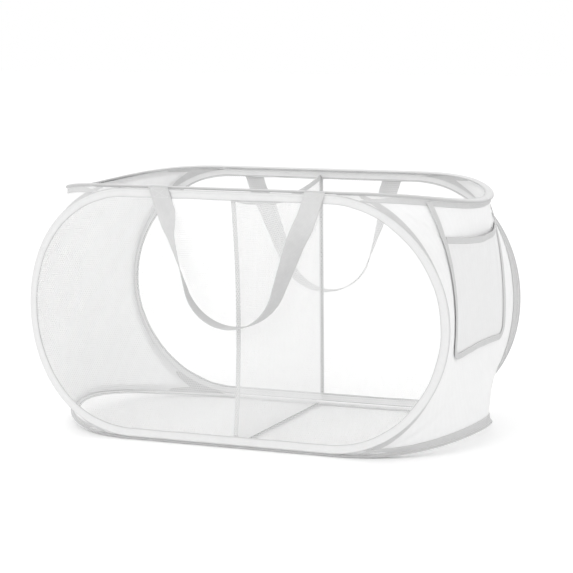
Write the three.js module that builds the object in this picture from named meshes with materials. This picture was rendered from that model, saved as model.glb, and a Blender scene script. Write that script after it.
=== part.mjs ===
import * as THREE from "three";

// A pop up laundry hamper with two compartments. Lengths are in millimetres. X runs along the hamper,
// Y from its front to its back and Z up. The origin is on the floor, under the middle of the hamper.

// Overall sizes. The length is taken along the middle of the tape, and the depth leaves out the handles.
const LENGTH = 672;
const DEPTH = 361;
const HEIGHT = 380;

// Each hoop has two straight runs and two rounded ends, and its ends bend towards the inside.
const END_REACH = 176;
const SIDE_BEND = 18;
const TOP_DROOP = 22;
const BOTTOM_RISE = 21;
const BEND_POWER = 3;
const END_STEPS = 18;

// Spring wire, with its two ends in a crimped ferrule, and the tape folded round them.
const WIRE_DIAMETER = 1.6;
const WIRE_SIDES = 6;
const WIRE_END_GAP = 1;
const FERRULE_WALL = 0.3;
const FERRULE_LENGTH = 28;
const FERRULE_SIDES = 8;
const TAPE_WIDTH = 13;
const TAPE_WALL = 0.5;

// Fabrics.
const MESH_THICKNESS = 0.8;
const END_FABRIC_THICKNESS = 0.8;
const END_DISH = 8;

// The divider's top edge sags, and its front seam stands off the middle and bows to the right.
const DIVIDER_SAG = 20;
const DIVIDER_TOP_DROP = 6;
const DIVIDER_FRONT_SHIFT = 11;
const DIVIDER_BOW = 8;
const DIVIDER_STEPS = 12;
const SEAM_TAPE_WIDTH = 7;
const SEAM_TAPE_THICKNESS = 1.1;
const DIVIDER_TOP_TAPE_WIDTH = 8;
const DIVIDER_TOP_TAPE_THICKNESS = 2;

// Pocket on the right end.
const POCKET_HALF_WIDTH = 119;
const POCKET_MOUTH_DROP = 60;
const POCKET_DEPTH = 181;
const POCKET_THICKNESS = 0.8;
const POCKET_LAYER_GAP = 0.5;
const POCKET_PUFF = 5;
const POCKET_STEPS = 12;
const POCKET_HEM_WIDTH = 9;
const POCKET_TAPE_WIDTH = 9;
const POCKET_TAPE_THICKNESS = 1;
const POCKET_CORNER_RADIUS = 22;
const POCKET_CORNER_STEPS = 4;
const POCKET_SIDE_STEPS = 12;
const POCKET_TAPE_TOP_GAP = 4;

// Webbing handles, front and back.
const STRAP_WIDTH = 30;
const STRAP_THICKNESS = 1.6;
const HANDLE_HALF_SPAN = 117;
const HANDLE_DROP = 179;
const HANDLE_BEND_RADIUS = 76;
const HANDLE_STAND_OFF = 3;
const HANDLE_ARC_STEPS = 22;
const HANDLE_LEG_STEPS = 12;
const HANDLE_LEVEL_SHARE = 0.15;
const HANDLE_UNTWISTED_SHARE = 0.06;
const HANDLE_TWIST_IN_SHARE = 0.25;
const HANDLE_TWIST_POWER = 0.6;
const FRONT_HANDLE_SHIFT = 18;
const TAB_HEIGHT = 20;

// The gap that touching pieces keep.
const CLEARANCE = 0.3;

// Sizes that follow from those above.
const FERRULE_OUTER = WIRE_DIAMETER + 2 * (CLEARANCE + FERRULE_WALL);
const TAPE_THICKNESS = FERRULE_OUTER + 2 * (CLEARANCE + TAPE_WALL);
const CAVITY_HALF = TAPE_THICKNESS / 2 - TAPE_WALL;
const MOUTH_HALF = MESH_THICKNESS / 2 + CLEARANCE;
const CAVITY_END = TAPE_WALL + FERRULE_OUTER + 2 * CLEARANCE;
const WIRE_INSET = (TAPE_WALL + CAVITY_END) / 2;
const MESH_INSET = CAVITY_END + CLEARANCE;
const STRAIGHT_HALF = LENGTH / 2 - END_REACH;
const POCKET_TOP = HEIGHT - POCKET_MOUTH_DROP;
const POCKET_BOTTOM = POCKET_TOP - POCKET_DEPTH;

// The hoops meet at four long edges, where the frame folds. They lie at these places in Y and Z.
const FOLD_Y = DEPTH / 2 - TAPE_THICKNESS - CLEARANCE / 2;
const FOLD_LOW_Z = TAPE_THICKNESS + CLEARANCE / 2;
const FOLD_HALF_HEIGHT = HEIGHT / 2 - FOLD_LOW_Z;

const QUARTER_TURN = Math.PI / 2;
const vector = (x, y, z) => new THREE.Vector3(x, y, z);

// Surfaces

const finish = (color, roughness, metalness = 0) =>
  new THREE.MeshStandardMaterial({ color, roughness, metalness });
const tapeGrey = finish(0xbdbdbd, 0.85);
const meshWhite = finish(0xf4f4f4, 0.8);
const clothWhite = finish(0xeeeeee, 0.9);
const strapGrey = finish(0xc8c8c8, 0.8);
const steel = finish(0x9a9da0, 0.4, 1);

// Closed solids from points

function closedSolid(points, triangles) {
  let volume = 0;
  for (const [a, b, c] of triangles) {
    volume += points[a].dot(points[b].clone().cross(points[c]));
  }
  const outward = volume > 0 ? triangles : triangles.map(([a, b, c]) => [a, c, b]);
  const geometry = new THREE.BufferGeometry();
  geometry.setAttribute("position", new THREE.Float32BufferAttribute(points.flatMap((p) => p.toArray()), 3));
  geometry.setIndex(outward.flat());
  geometry.computeVertexNormals();
  return geometry;
}

// Rings of points joined in order. The last ring joins the first, or flat caps close the two ends.
function skin(rings, isLoop) {
  const sides = rings[0].length;
  const triangles = [];
  for (let i = 0; i < rings.length - (isLoop ? 0 : 1); i++) {
    const near = i * sides;
    const far = ((i + 1) % rings.length) * sides;
    for (let j = 0; j < sides; j++) {
      const next = (j + 1) % sides;
      const [a, b, c, d] = [near + j, far + j, far + next, near + next];
      triangles.push(...(2 * j < sides ? [[a, b, d], [d, b, c]] : [[a, b, c], [a, c, d]]));
    }
  }
  const last = (rings.length - 1) * sides;
  for (let j = 1; j < sides - 1 && !isLoop; j++) {
    triangles.push([0, j, j + 1], [last, last + j + 1, last + j]);
  }
  return closedSolid(rings.flat(), triangles);
}

// The direction from one point of a row to another, with the row's ends held.
const along = (row, i, before, after) =>
  row[Math.min(i + after, row.length - 1)].clone().sub(row[Math.max(i - before, 0)]);

// The normals of a grid of points, facing the side that its columns and rows turn to.
function gridNormals(grid) {
  return grid.map((row, i) =>
    row.map((_, j) => {
      const column = grid.map((other) => other[j]);
      return along(column, i, 1, 1).cross(along(row, j, 1, 1)).normalize();
    }),
  );
}

// A thin sheet round a grid of points.
function sheet(grid, thickness) {
  const normals = gridNormals(grid);
  const rows = grid.length;
  const columns = grid[0].length;
  const points = [];
  for (const side of [thickness / 2, -thickness / 2]) {
    grid.forEach((row, i) => row.forEach((p, j) => points.push(p.clone().addScaledVector(normals[i][j], side))));
  }
  const under = rows * columns;
  const at = (i, j) => i * columns + j;
  const triangles = [];
  for (let i = 0; i < rows - 1; i++) {
    for (let j = 0; j < columns - 1; j++) {
      const [a, b, c, d] = [at(i, j), at(i + 1, j), at(i + 1, j + 1), at(i, j + 1)];
      triangles.push([a, b, c], [a, c, d], [under + a, under + c, under + b], [under + a, under + d, under + c]);
    }
  }
  const rim = [];
  for (let i = 0; i < rows - 1; i++) rim.push(at(i, 0));
  for (let j = 0; j < columns - 1; j++) rim.push(at(rows - 1, j));
  for (let i = rows - 1; i > 0; i--) rim.push(at(i, columns - 1));
  for (let j = columns - 1; j > 0; j--) rim.push(at(0, j));
  rim.forEach((p, k) => {
    const q = rim[(k + 1) % rim.length];
    triangles.push([q, p, under + p], [q, under + p, under + q]);
  });
  return closedSolid(points, triangles);
}

// A flat strip along a line of points. Its width and its thickness run along the two given directions.
function strip(line, widthAt, thicknessAt, width, thickness) {
  return skin(
    line.map((p, i) =>
      [[-1, -1], [1, -1], [1, 1], [-1, 1]].map(([a, b]) =>
        p.clone()
          .addScaledVector(widthAt(i), (a * width) / 2)
          .addScaledVector(thicknessAt(i), (b * thickness) / 2),
      ),
    ),
    false,
  );
}

const steps = (count, from = 0, to = 1) =>
  Array.from({ length: count + 1 }, (_, i) => from + ((to - from) * i) / count);

// Hoops. Each is drawn along X and across itself, with its bend towards the inside of the hamper, and
// its own place function then sets it in the hamper.

const endShare = (x) => Math.max(0, (Math.abs(x) - STRAIGHT_HALF) / END_REACH);
const bendAt = (x, bend) => bend * endShare(x) ** BEND_POWER;
const bendSlope = (x, bend) =>
  (Math.sign(x) * BEND_POWER * bend * endShare(x) ** (BEND_POWER - 1)) / END_REACH;

const hoops = {
  front: {
    half: FOLD_HALF_HEIGHT - CLEARANCE / 2,
    bend: SIDE_BEND,
    place: (x, across, inward) => vector(x, inward - (DEPTH - TAPE_THICKNESS) / 2, HEIGHT / 2 + across),
  },
  back: {
    half: FOLD_HALF_HEIGHT - CLEARANCE / 2,
    bend: SIDE_BEND,
    place: (x, across, inward) => vector(x, (DEPTH - TAPE_THICKNESS) / 2 - inward, HEIGHT / 2 + across),
  },
  top: {
    half: FOLD_Y - CLEARANCE / 2,
    bend: TOP_DROOP,
    place: (x, across, inward) => vector(x, across, HEIGHT - TAPE_THICKNESS / 2 - inward),
  },
  bottom: {
    half: FOLD_Y - CLEARANCE / 2,
    bend: BOTTOM_RISE,
    place: (x, across, inward) => vector(x, across, TAPE_THICKNESS / 2 + inward),
  },
};

// A point on a hoop's curved surface, or out of it along its normal.
function hoopPoint(hoop, x, across, out) {
  const normal = vector(-bendSlope(x, hoop.bend), 0, 1).normalize();
  const p = vector(x, across, bendAt(x, hoop.bend)).addScaledVector(normal, out);
  return hoop.place(p.x, p.y, p.z);
}

// Stations on a rounded end's outer edge, each with the way towards the hoop's middle.
function endStations(hoop, side) {
  return steps(END_STEPS, -QUARTER_TURN, QUARTER_TURN).map((angle) => {
    const turn = side > 0 ? angle : angle + 2 * QUARTER_TURN;
    const run = new THREE.Vector2(-END_REACH * Math.sin(turn), hoop.half * Math.cos(turn)).normalize();
    return {
      x: side * STRAIGHT_HALF + END_REACH * Math.cos(turn),
      across: hoop.half * Math.sin(turn),
      middle: new THREE.Vector2(-run.y, run.x),
    };
  });
}

// A section's points are given by how far they lie in from the outer edge, and out of the panel.
const hoopRing = (hoop, { x, across, middle }, section) =>
  section.map(([inset, out]) =>
    hoopPoint(hoop, x + inset * middle.x, across + inset * middle.y, out),
  );

function tapeGeometry(hoop) {
  const upper = [
    [0, TAPE_THICKNESS / 2],
    [TAPE_WIDTH, TAPE_THICKNESS / 2],
    [TAPE_WIDTH, MOUTH_HALF],
    [CAVITY_END, MOUTH_HALF],
    [CAVITY_END, CAVITY_HALF],
    [TAPE_WALL, CAVITY_HALF],
  ];
  const lower = upper.map(([inset, out]) => [inset, -out]).reverse();
  const stations = [...endStations(hoop, 1), ...endStations(hoop, -1)];
  return skin(stations.map((at) => hoopRing(hoop, at, [...upper, ...lower])), true);
}

const roundSection = (radius, sides) =>
  steps(sides, 0, 4 * QUARTER_TURN)
    .slice(0, sides)
    .map((turn) => [WIRE_INSET + radius * Math.cos(turn), radius * Math.sin(turn)]);

// The straight run that carries the wire's joint is the one across the hoop's lower or front side.
const jointStation = (hoop, x) => ({ x, across: -hoop.half, middle: new THREE.Vector2(0, 1) });

function wireGeometry(hoop) {
  const stations = [
    jointStation(hoop, WIRE_END_GAP / 2),
    ...endStations(hoop, 1),
    ...endStations(hoop, -1),
    jointStation(hoop, -WIRE_END_GAP / 2),
  ];
  return skin(stations.map((at) => hoopRing(hoop, at, roundSection(WIRE_DIAMETER / 2, WIRE_SIDES))), false);
}

function ferruleGeometry(hoop) {
  const ring = (x, radius) => hoopRing(hoop, jointStation(hoop, x), roundSection(radius, FERRULE_SIDES));
  const reach = FERRULE_LENGTH / 2;
  const bore = WIRE_DIAMETER / 2 + CLEARANCE;
  const outer = FERRULE_OUTER / 2;
  return skin([ring(-reach, outer), ring(reach, outer), ring(reach, bore), ring(-reach, bore)], true);
}

// A mesh panel fills its hoop, with its edge in the mouth of the tape. Its ends are cut square there.
function panelGeometry(hoop) {
  const turns = steps(END_STEPS / 2, -QUARTER_TURN, 0).slice(0, -1);
  const end = turns.map((turn) => ({
    x: STRAIGHT_HALF + (END_REACH - MESH_INSET) * Math.cos(turn),
    half: (MESH_INSET - hoop.half) * Math.sin(turn),
  }));
  const columns = [...end.map(({ x, half }) => ({ x: -x, half })).reverse(), ...end];
  const face = MESH_THICKNESS / 2;
  return skin(
    columns.map(({ x, half }) =>
      [[-half, -face], [half, -face], [half, face], [-half, face]].map(([across, out]) =>
        hoopPoint(hoop, x, across, out),
      ),
    ),
    false,
  );
}

// End panels. A point is given by its two shares, each from -1 to 1: from front to back, and up.

const END_PANEL_REACH = END_REACH - TAPE_WIDTH / 2;
const roundShare = (share) => Math.sqrt(Math.max(0, 1 - share * share));
const drawnIn = (share, bend) => bend * ((END_PANEL_REACH / END_REACH) * roundShare(share)) ** BEND_POWER;

function endPanelPoint(side, depthShare, heightShare) {
  const dish = END_DISH * (1 - depthShare ** 2) * (1 - heightShare ** 2);
  const x = STRAIGHT_HALF + END_PANEL_REACH * roundShare(depthShare * heightShare) - dish;
  const halfDepth = FOLD_Y - END_FABRIC_THICKNESS / 2 - drawnIn(heightShare, SIDE_BEND);
  const bend = heightShare > 0 ? TOP_DROOP : BOTTOM_RISE;
  const halfHeight = FOLD_HALF_HEIGHT - END_FABRIC_THICKNESS / 2 - drawnIn(depthShare, bend);
  return vector(side * x, depthShare * halfDepth, HEIGHT / 2 + heightShare * halfHeight);
}

function endPanelGeometry(side) {
  const shares = steps(END_STEPS, -QUARTER_TURN, QUARTER_TURN).map(Math.sin);
  return sheet(shares.map((b) => shares.map((a) => endPanelPoint(side, a, b))), END_FABRIC_THICKNESS);
}

// Pocket, on the outside of the right end panel. Its places are in millimetres along that panel.

const depthShareAt = (y) => y / FOLD_Y;
const heightShareAt = (z) => (z - HEIGHT / 2) / FOLD_HALF_HEIGHT;

// A point off the panel, with the panel's outward normal and its directions up and to the back.
function onRightEnd(y, z, off) {
  const at = (dy, dz) => endPanelPoint(1, depthShareAt(y + dy), heightShareAt(z + dz));
  const back = at(TAPE_WALL, 0).sub(at(-TAPE_WALL, 0)).normalize();
  const up = at(0, TAPE_WALL).sub(at(0, -TAPE_WALL)).normalize();
  const normal = back.clone().cross(up).normalize();
  return { point: at(0, 0).addScaledVector(normal, off), normal, up, back };
}

const POCKET_OFF = (END_FABRIC_THICKNESS + POCKET_THICKNESS) / 2 + POCKET_LAYER_GAP;
const POCKET_TAPE_OFF = POCKET_OFF + (POCKET_THICKNESS + POCKET_TAPE_THICKNESS) / 2 + POCKET_LAYER_GAP;

// The pocket is flat where its tape is sewn on, at its sides and bottom, and puffs out towards its mouth.
const PUFF_HALF_WIDTH = POCKET_HALF_WIDTH - POCKET_TAPE_WIDTH;
const PUFF_BOTTOM = POCKET_BOTTOM + POCKET_TAPE_WIDTH;

function pocketPuff(y, z) {
  const rise = Math.max(0, (z - PUFF_BOTTOM) / (POCKET_TOP - PUFF_BOTTOM));
  return POCKET_PUFF * Math.max(0, 1 - (y / PUFF_HALF_WIDTH) ** 2) * Math.sin(QUARTER_TURN * rise);
}

function pocketGeometry() {
  const rows = [POCKET_BOTTOM, ...steps(POCKET_STEPS, PUFF_BOTTOM, POCKET_TOP)];
  const inner = steps(POCKET_STEPS, -PUFF_HALF_WIDTH, PUFF_HALF_WIDTH);
  const columns = [-POCKET_HALF_WIDTH, ...inner, POCKET_HALF_WIDTH];
  const at = (y, z) => onRightEnd(y, z, POCKET_OFF + pocketPuff(y, z)).point;
  return sheet(rows.map((z) => columns.map((y) => at(y, z))), POCKET_THICKNESS);
}

function pocketHemGeometry() {
  const reach = PUFF_HALF_WIDTH + POCKET_TAPE_WIDTH / 2 - CLEARANCE;
  const z = POCKET_TOP - POCKET_HEM_WIDTH / 2;
  const places = steps(POCKET_STEPS, -reach, reach).map((y) =>
    onRightEnd(y, z, POCKET_TAPE_OFF + pocketPuff(y, z)),
  );
  return strip(
    places.map(({ point }) => point),
    (i) => places[i].up,
    (i) => places[i].normal,
    POCKET_HEM_WIDTH,
    POCKET_TAPE_THICKNESS,
  );
}

// One tape runs down a side of the pocket, round its two bottom corners and up the other side. Its
// sides go on above the pocket to the top hoop.
function pocketTapeGeometry() {
  const top = HEIGHT - TAPE_THICKNESS - POCKET_TAPE_TOP_GAP;
  const cornerY = POCKET_HALF_WIDTH - POCKET_CORNER_RADIUS;
  const cornerZ = POCKET_BOTTOM + POCKET_CORNER_RADIUS;
  const path = [];
  for (const z of steps(POCKET_SIDE_STEPS, top, cornerZ)) path.push([-POCKET_HALF_WIDTH, z]);
  for (const turn of steps(POCKET_CORNER_STEPS, 0, QUARTER_TURN).slice(1)) {
    path.push([
      -cornerY - POCKET_CORNER_RADIUS * Math.cos(turn),
      cornerZ - POCKET_CORNER_RADIUS * Math.sin(turn),
    ]);
  }
  for (const y of steps(POCKET_SIDE_STEPS, -cornerY, 0).slice(1)) path.push([y, POCKET_BOTTOM]);
  const mirrored = path.slice(0, -1).reverse().map(([y, z]) => [-y, z]);
  const places = [...path, ...mirrored].map(([y, z]) => onRightEnd(y, z, POCKET_TAPE_OFF));
  const line = places.map(({ point }) => point);
  const widthAt = (i) => along(line, i, 1, 1).cross(places[i].normal).normalize();
  return strip(line, widthAt, (i) => places[i].normal, POCKET_TAPE_WIDTH, POCKET_TAPE_THICKNESS);
}

// Divider. Its sheet stands across the hamper, between the front and the back.

const DIVIDER_HALF_DEPTH = FOLD_Y - CLEARANCE / 2;
const DIVIDER_BOTTOM = FOLD_LOW_Z + CLEARANCE;
const DIVIDER_TOP = HEIGHT - FOLD_LOW_Z - DIVIDER_TOP_DROP - DIVIDER_TOP_TAPE_WIDTH;

function dividerX(y, z) {
  const front = (1 - y / DIVIDER_HALF_DEPTH) / 2;
  const height = (z - HEIGHT / 2) / (HEIGHT / 2);
  return front * (DIVIDER_FRONT_SHIFT + DIVIDER_BOW * (1 - height ** 2));
}

const dividerTopAt = (y) => DIVIDER_TOP - DIVIDER_SAG * (1 - (y / DIVIDER_HALF_DEPTH) ** 2);

function dividerGeometry() {
  const grid = steps(DIVIDER_STEPS).map((rise) =>
    steps(DIVIDER_STEPS, -DIVIDER_HALF_DEPTH, DIVIDER_HALF_DEPTH).map((y) => {
      const z = DIVIDER_BOTTOM + rise * (dividerTopAt(y) - DIVIDER_BOTTOM);
      return vector(dividerX(y, z), y, z);
    }),
  );
  return sheet(grid, MESH_THICKNESS);
}

function dividerTopTapeGeometry() {
  const line = steps(DIVIDER_STEPS, -DIVIDER_HALF_DEPTH, DIVIDER_HALF_DEPTH).map((y) => {
    const z = dividerTopAt(y) + CLEARANCE + DIVIDER_TOP_TAPE_WIDTH / 2;
    return vector(dividerX(y, z), y, z);
  });
  const up = vector(0, 0, 1);
  const across = (i) => along(line, i, 1, 1).setZ(0).cross(up).normalize();
  return strip(line, () => up, across, DIVIDER_TOP_TAPE_WIDTH, DIVIDER_TOP_TAPE_THICKNESS);
}

// A seam tape lies on a panel's inner face, between the inner edges of its hoop's tape.
function seamTapeGeometry(hoop, crossingX) {
  const reach = hoop.half - TAPE_WIDTH - CLEARANCE;
  const inward = MESH_THICKNESS / 2 + CLEARANCE + SEAM_TAPE_THICKNESS / 2;
  const line = steps(DIVIDER_STEPS, -reach, reach).map((across) => {
    const p = hoop.place(0, across, inward);
    return p.setX(crossingX(p));
  });
  const inside = hoop.place(0, 0, 1).sub(hoop.place(0, 0, 0));
  return strip(line, () => vector(1, 0, 0), () => inside, SEAM_TAPE_WIDTH, SEAM_TAPE_THICKNESS);
}

// Handles. Each is a webbing loop that hangs from two sewn tabs in straight legs, which an arc joins.
// It turns edge-on as it goes down, with its outer edge towards the hamper.

const STRAP_Y = DEPTH / 2 + CLEARANCE + STRAP_THICKNESS / 2;
const HANDLE_TOP = HEIGHT - TAB_HEIGHT - CLEARANCE;
const HANDLE_FALL = HANDLE_DROP - HANDLE_BEND_RADIUS;
const LEG_ANGLE =
  Math.atan2(HANDLE_FALL, HANDLE_HALF_SPAN) +
  Math.asin(HANDLE_BEND_RADIUS / Math.hypot(HANDLE_HALF_SPAN, HANDLE_FALL));
const easeIn = (share) => share * share * (3 - 2 * share);
const easeUpTo = (share, limit) => easeIn(Math.min(1, share / limit));

// The places along a handle, in order, each with the angle that the handle runs at.
function handlePath() {
  const centre = HANDLE_TOP - HANDLE_FALL;
  const arc = steps(HANDLE_ARC_STEPS, -LEG_ANGLE, LEG_ANGLE).map((angle) => ({
    x: HANDLE_BEND_RADIUS * Math.sin(angle),
    z: centre - HANDLE_BEND_RADIUS * Math.cos(angle),
    angle,
  }));
  const { x, z } = arc.at(-1);
  const leg = steps(HANDLE_LEG_STEPS).slice(1).map((share) => ({
    x: x + (HANDLE_HALF_SPAN - x) * share,
    z: z + (HANDLE_TOP - z) * share,
    angle: LEG_ANGLE,
  }));
  const mirrored = leg.map((at) => ({ x: -at.x, z: at.z, angle: -at.angle })).reverse();
  return [...mirrored, ...arc, ...leg];
}

function handleGeometry(side, shift) {
  const places = handlePath().map(({ x, z, angle }) => {
    const drop = Math.max(0, (HANDLE_TOP - z) / HANDLE_DROP);
    const run = vector(Math.cos(angle), 0, Math.sin(angle));
    const square = vector(run.z, 0, -run.x);
    const flat = vector(Math.sign(x), 0, 0).lerp(square, easeUpTo(drop, HANDLE_LEVEL_SHARE));
    const below = Math.max(0, drop - HANDLE_UNTWISTED_SHARE);
    const turn = QUARTER_TURN * drop ** HANDLE_TWIST_POWER * easeUpTo(below, HANDLE_TWIST_IN_SHARE);
    const width = flat.multiplyScalar(Math.cos(turn) / flat.dot(square));
    const off = HANDLE_STAND_OFF * easeIn(drop) + (STRAP_WIDTH / 2) * Math.sin(turn);
    return {
      point: vector(shift + x, side * (STRAP_Y + off), z),
      width: width.add(vector(0, -side * Math.sin(turn), 0)),
      run,
    };
  });
  return strip(
    places.map(({ point }) => point),
    (i) => places[i].width,
    (i) => places[i].run.clone().cross(places[i].width).normalize(),
    STRAP_WIDTH,
    STRAP_THICKNESS,
  );
}

// A tab goes on up from a leg at the leg's slant, and is cut level at both ends.
function tabGeometry(side, way, shift) {
  const line = [CLEARANCE, CLEARANCE + TAB_HEIGHT].map((rise) =>
    vector(
      shift + way * (HANDLE_HALF_SPAN + rise / Math.tan(LEG_ANGLE)),
      side * STRAP_Y,
      HANDLE_TOP + rise,
    ),
  );
  const width = vector(1 / Math.sin(LEG_ANGLE), 0, 0);
  return strip(line, () => width, () => vector(0, 1, 0), STRAP_WIDTH, STRAP_THICKNESS);
}

// The assembly

const hamper = new THREE.Group();

function add(name, geometry, material) {
  const mesh = new THREE.Mesh(geometry, material);
  mesh.name = name;
  hamper.add(mesh);
}

for (const [name, hoop] of Object.entries(hoops)) {
  add(`${name}_hoop_wire`, wireGeometry(hoop), steel);
  add(`${name}_hoop_ferrule`, ferruleGeometry(hoop), steel);
  add(`${name}_hoop_binding`, tapeGeometry(hoop), tapeGrey);
}
for (const name of ["front", "back", "bottom"]) {
  add(`${name}_mesh_panel`, panelGeometry(hoops[name]), meshWhite);
}
add("left_end_panel", endPanelGeometry(-1), clothWhite);
add("right_end_panel", endPanelGeometry(1), clothWhite);

add("side_pocket_panel", pocketGeometry(), clothWhite);
add("side_pocket_hem", pocketHemGeometry(), tapeGrey);
add("side_pocket_edge_tape", pocketTapeGeometry(), tapeGrey);

add("divider_panel", dividerGeometry(), meshWhite);
add("divider_top_tape", dividerTopTapeGeometry(), tapeGrey);
for (const name of ["front", "back", "bottom"]) {
  add(`divider_${name}_tape`, seamTapeGeometry(hoops[name], (p) => dividerX(p.y, p.z)), tapeGrey);
}

for (const [name, side, shift] of [["front", -1, FRONT_HANDLE_SHIFT], ["back", 1, 0]]) {
  add(`${name}_handle_strap`, handleGeometry(side, shift), strapGrey);
  for (const [end, way] of [["left", -1], ["right", 1]]) {
    add(`${name}_handle_${end}_tab`, tabGeometry(side, way, shift), strapGrey);
  }
}

export default hamper;
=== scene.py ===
"""The looks of a pop up laundry hamper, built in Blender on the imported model's frame."""
import math

import bpy
import numpy as np
from mathutils import Matrix, Vector

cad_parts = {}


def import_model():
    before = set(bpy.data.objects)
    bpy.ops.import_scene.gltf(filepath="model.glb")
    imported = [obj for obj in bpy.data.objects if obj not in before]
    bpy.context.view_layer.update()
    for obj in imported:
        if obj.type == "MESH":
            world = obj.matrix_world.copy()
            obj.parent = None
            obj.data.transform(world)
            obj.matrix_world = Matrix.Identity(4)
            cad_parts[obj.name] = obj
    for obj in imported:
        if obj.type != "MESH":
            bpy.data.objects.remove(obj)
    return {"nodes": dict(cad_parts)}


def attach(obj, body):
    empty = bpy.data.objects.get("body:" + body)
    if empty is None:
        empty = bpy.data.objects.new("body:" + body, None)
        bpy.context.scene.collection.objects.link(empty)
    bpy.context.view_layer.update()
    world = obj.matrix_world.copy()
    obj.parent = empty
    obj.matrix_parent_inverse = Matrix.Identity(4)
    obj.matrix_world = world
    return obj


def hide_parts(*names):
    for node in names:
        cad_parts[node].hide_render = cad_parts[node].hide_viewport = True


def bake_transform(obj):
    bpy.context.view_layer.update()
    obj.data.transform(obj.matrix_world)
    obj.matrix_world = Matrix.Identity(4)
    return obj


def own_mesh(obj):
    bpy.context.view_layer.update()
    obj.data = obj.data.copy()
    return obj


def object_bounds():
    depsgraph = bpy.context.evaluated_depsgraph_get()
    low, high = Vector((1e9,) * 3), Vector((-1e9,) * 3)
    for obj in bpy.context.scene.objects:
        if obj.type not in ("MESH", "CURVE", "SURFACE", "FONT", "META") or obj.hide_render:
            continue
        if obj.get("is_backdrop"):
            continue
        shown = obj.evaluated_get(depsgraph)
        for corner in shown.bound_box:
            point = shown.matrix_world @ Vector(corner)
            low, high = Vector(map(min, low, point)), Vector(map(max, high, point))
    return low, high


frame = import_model()
cad_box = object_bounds()

# Sizes are in millimetres, as in the CAD, and become metres when a mesh is made.
MM = 0.001
LENGTH = 672
DEPTH = 361
HEIGHT = 380
END_REACH = 176
STRAIGHT_HALF = LENGTH / 2 - END_REACH
SIDE_BEND = 18
TOP_DROOP = 22
BOTTOM_RISE = 21
TAPE_WIDTH = 13
TAPE_HALF = 2.2
SEAM_GAP = 0.15
FOLD_LOW_Z = 2 * TAPE_HALF + SEAM_GAP
FOLD_Y = DEPTH / 2 - FOLD_LOW_Z
FOLD_HALF_HEIGHT = HEIGHT / 2 - FOLD_LOW_Z
SIDE_HALF = FOLD_HALF_HEIGHT - SEAM_GAP
FLOOR_HALF = FOLD_Y - SEAM_GAP


# Meshes

def mesh_object(name, points, quads=(), tris=(), uv=None, smooth=True):
    """An object from points in millimetres and faces of four and three corners. uv has a row a corner."""
    points = np.asarray(points, float).reshape(-1, 3) * MM
    quads = np.asarray(quads, np.int64).reshape(-1, 4)
    tris = np.asarray(tris, np.int64).reshape(-1, 3)
    mesh = bpy.data.meshes.new(name)
    corners = np.concatenate([quads.ravel(), tris.ravel()]).astype(np.int32)
    sizes = np.concatenate([np.full(len(quads), 4), np.full(len(tris), 3)])
    starts = np.concatenate([[0], np.cumsum(sizes)[:-1]]).astype(np.int32)
    mesh.vertices.add(len(points))
    mesh.vertices.foreach_set("co", points.ravel().astype(np.float32))
    mesh.loops.add(len(corners))
    mesh.loops.foreach_set("vertex_index", corners)
    mesh.polygons.add(len(sizes))
    mesh.polygons.foreach_set("loop_start", starts)
    mesh.update(calc_edges=True)
    mesh.validate()
    if uv is not None:
        layer = mesh.uv_layers.new(name="UVMap")
        layer.data.foreach_set("uv", np.asarray(uv, np.float32).ravel())
    mesh.polygons.foreach_set("use_smooth", np.full(len(mesh.polygons), smooth))
    piece = bpy.data.objects.new(name, mesh)
    bpy.context.scene.collection.objects.link(piece)
    return piece


def unit(v):
    return v / np.maximum(np.linalg.norm(v, axis=-1, keepdims=True), 1e-12)


def lengths(line, is_loop=False):
    """How far along each point of a line is, with the whole length last when it is a loop."""
    line = np.concatenate([line, line[:1]]) if is_loop else line
    return np.concatenate([[0], np.cumsum(np.linalg.norm(np.diff(line, axis=0), axis=1))])


def skin(rings, is_loop):
    """Points, quads, triangles and corner coordinates in millimetres of a skin over rings of points."""
    count, sides = rings.shape[:2]
    spans = count if is_loop else count - 1
    i, j = np.meshgrid(np.arange(spans), np.arange(sides), indexing="ij")
    far, following = (i + 1) % count, (j + 1) % sides
    quads = np.stack([i * sides + j, far * sides + j, far * sides + following, i * sides + following], -1)
    v = lengths(rings.mean(axis=1), is_loop)
    u = lengths(rings[0], True)
    uv = np.stack([np.stack([u[j], v[i]], -1), np.stack([u[j], v[i + 1]], -1),
                   np.stack([u[j + 1], v[i + 1]], -1), np.stack([u[j + 1], v[i]], -1)], 2)
    tris = []
    if not is_loop:
        last = (count - 1) * sides
        for k in range(1, sides - 1):
            tris += [[0, k, k + 1], [last, last + k + 1, last + k]]
    uv = np.concatenate([uv.reshape(-1, 2), np.zeros((3 * len(tris), 2))])
    return rings.reshape(-1, 3), quads.reshape(-1, 4), tris, uv


def skin_object(name, rings, is_loop=False):
    piece = mesh_object(name, *skin(np.asarray(rings), is_loop))
    outward(piece)
    return piece


def outward(piece):
    """Turns a closed mesh's faces outward where they face in."""
    mesh = piece.data
    mesh.calc_loop_triangles()
    points = np.empty(len(mesh.vertices) * 3, np.float32)
    mesh.vertices.foreach_get("co", points)
    points = points.reshape(-1, 3).astype(float)
    points -= points.mean(axis=0)
    tris = np.empty(len(mesh.loop_triangles) * 3, np.int32)
    mesh.loop_triangles.foreach_get("vertices", tris)
    a, b, c = (points[tris.reshape(-1, 3)[:, k]] for k in range(3))
    if (a * np.cross(b, c)).sum() < 0:
        mesh.flip_normals()


def ripple(*shares, seed, waves=6, low=1.0, high=4.0):
    """A smooth random field over the given coordinates, about from -1 to 1."""
    random = np.random.default_rng(seed)
    total = 0
    for _ in range(waves):
        phase = random.uniform(0, 2 * math.pi)
        for share in shares:
            phase = phase + random.uniform(low, high) * random.choice([-1, 1]) * math.pi * share
        total = total + np.sin(phase)
    return total / math.sqrt(waves) / 1.5


# Hoops

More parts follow.
